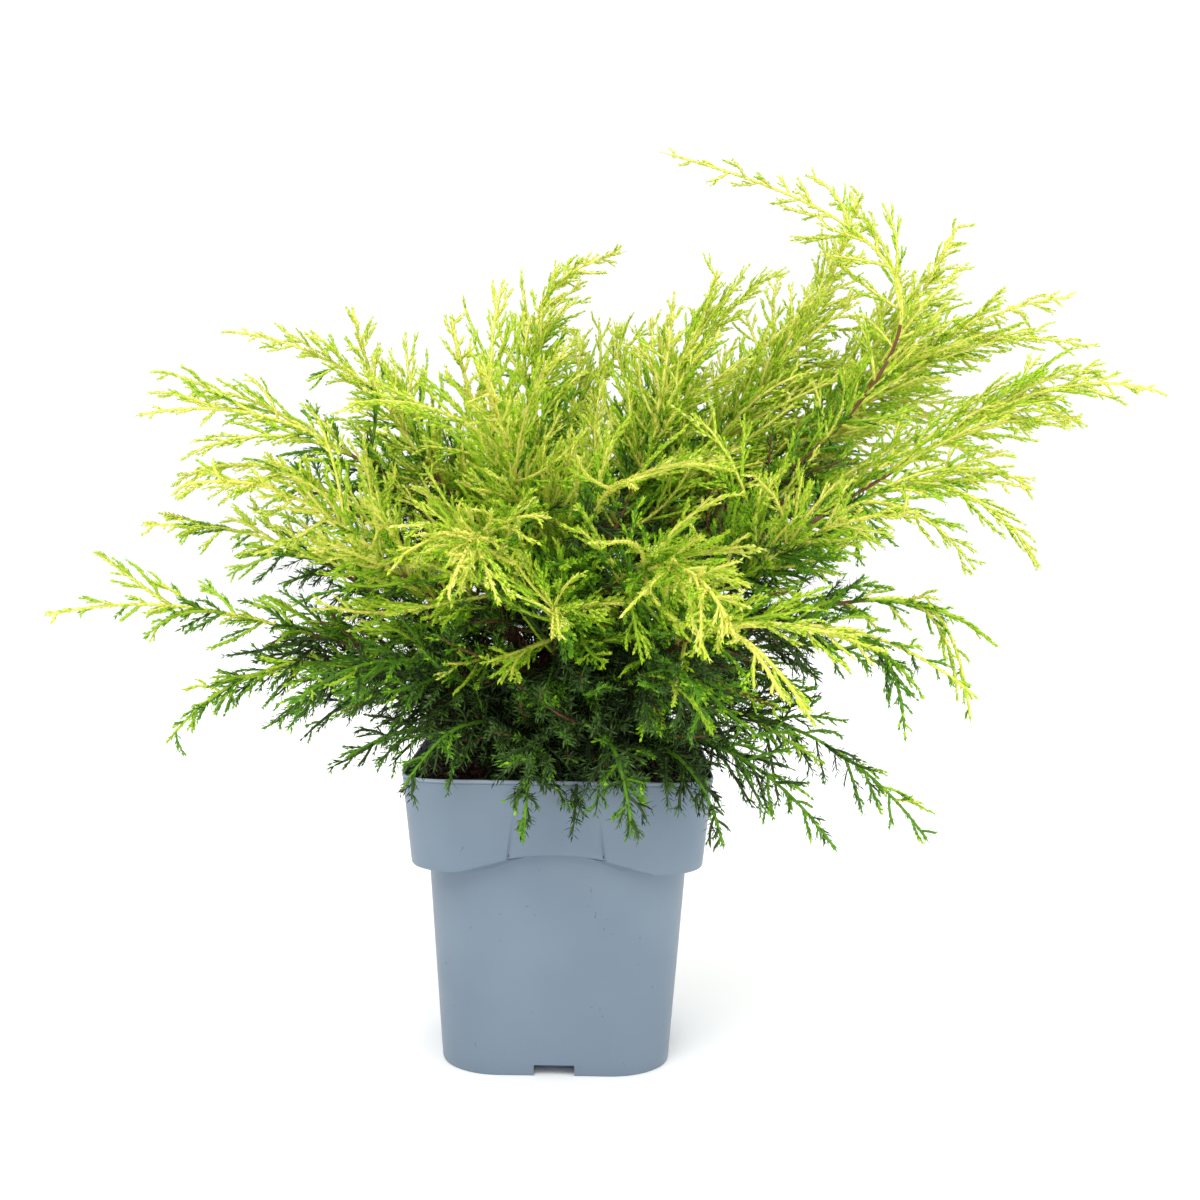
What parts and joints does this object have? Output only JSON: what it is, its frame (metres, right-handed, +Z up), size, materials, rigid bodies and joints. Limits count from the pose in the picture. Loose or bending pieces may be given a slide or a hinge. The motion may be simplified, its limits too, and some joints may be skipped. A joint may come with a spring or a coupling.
{
  "type": "potted golden spreading juniper shrub",
  "caption": "Young golden-tipped spreading juniper, bushy and open at its tips, growing in a square nursery pot with a deep collar.",
  "frame": {"origin": "centre of the pot's flat underside", "axes": "+Z up, +X to the right and +Y away as seen from the shrub's front; the pot's sides are square to X and Y"},
  "size_m": [0.7111, 0.5621, 0.595],
  "materials": {
    "pot_plastic": "satin",
    "potting_soil": "rough",
    "bark": "rough",
    "foliage_gold": "matte",
    "foliage_green": "matte"
  },
  "bodies": {
    "root": {"pot": "pot_plastic", "soil": "potting_soil", "trunk": "bark", "bough_west": "bark", "bough_west_low": "bark", "bough_north_west": "bark", "bough_centre_left": "bark", "bough_centre_right": "bark", "bough_north": "bark", "bough_north_east": "bark", "bough_east": "bark", "bough_east_low": "bark", "bough_south_east": "bark", "bough_south": "bark", "bough_south_west": "bark", "foliage_left_high": "foliage_gold", "foliage_left_arch": "foliage_gold", "foliage_left_mid": "foliage_gold", "foliage_left_long": "foliage_green", "foliage_left_low": "foliage_green", "foliage_left_twigs": "foliage_green", "foliage_left_top": "foliage_gold", "foliage_left_up": "foliage_gold", "foliage_back_left": "foliage_gold", "foliage_up_left": "foliage_gold", "foliage_up_mid": "foliage_gold", "foliage_up_right": "foliage_gold", "foliage_up_back": "foliage_gold", "foliage_back_mid": "foliage_gold", "foliage_back": "foliage_gold", "foliage_back_right": "foliage_gold", "foliage_crest": "foliage_gold", "foliage_crest_left": "foliage_gold", "foliage_top_arch": "foliage_gold", "foliage_right_upper": "foliage_gold", "foliage_right_long": "foliage_gold", "foliage_right_mid": "foliage_gold", "foliage_right_droop": "foliage_green", "foliage_right_low": "foliage_green", "foliage_front_pale": "foliage_green", "foliage_front_mid": "foliage_gold", "foliage_front_right": "foliage_green", "foliage_front_left": "foliage_green", "foliage_front_west": "foliage_gold", "foliage_front_rise": "foliage_gold", "foliage_front_east": "foliage_gold", "foliage_front_low": "foliage_green", "foliage_front_low_right": "foliage_green", "foliage_front_low_left": "foliage_green", "foliage_low_right": "foliage_green", "foliage_low_corner": "foliage_green", "foliage_low_back": "foliage_green", "foliage_skirt_right": "foliage_green", "foliage_skirt_mid": "foliage_green", "foliage_skirt_front": "foliage_green", "foliage_skirt_west": "foliage_green", "foliage_skirt_left": "foliage_green", "foliage_foot_back_left": "foliage_green", "foliage_foot_back": "foliage_green", "foliage_foot_back_right": "foliage_green"}
  },
  "joints": []
}
